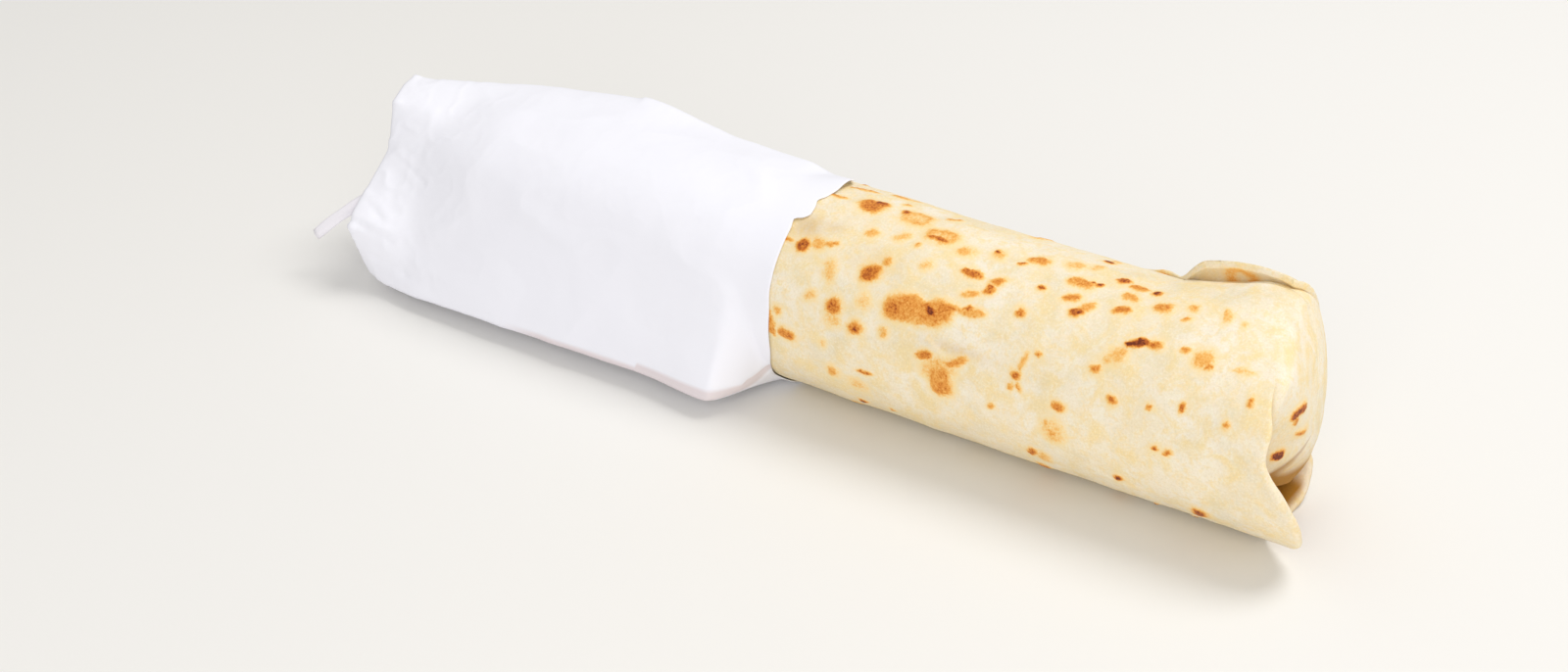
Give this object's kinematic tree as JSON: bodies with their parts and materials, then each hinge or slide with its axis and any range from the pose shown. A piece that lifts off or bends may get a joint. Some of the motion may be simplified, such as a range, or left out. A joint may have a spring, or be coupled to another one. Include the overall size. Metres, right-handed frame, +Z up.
{
  "type": "gyro wrap",
  "caption": "Toasted flatbread roll lying on its side, closed at one end in a white paper sleeve and bare at the other, where the end is tucked in.",
  "frame": {"origin": "on the ground, under the middle of the wrap's bounding box", "axes": "+X along the roll, from the paper end to the bare end; +Z up; -Y towards the side where the paper's fin stands out"},
  "size_m": [0.2942, 0.0668, 0.0578],
  "materials": {
    "toasted_flatbread": "matt toasted flatbread, pale cream with yellow mottling and brown blisters",
    "white_paper": "plain white greaseproof paper, softly creased, no print"
  },
  "bodies": {
    "root": {"flatbread": "toasted_flatbread", "paper_sleeve": "white_paper"}
  },
  "joints": []
}
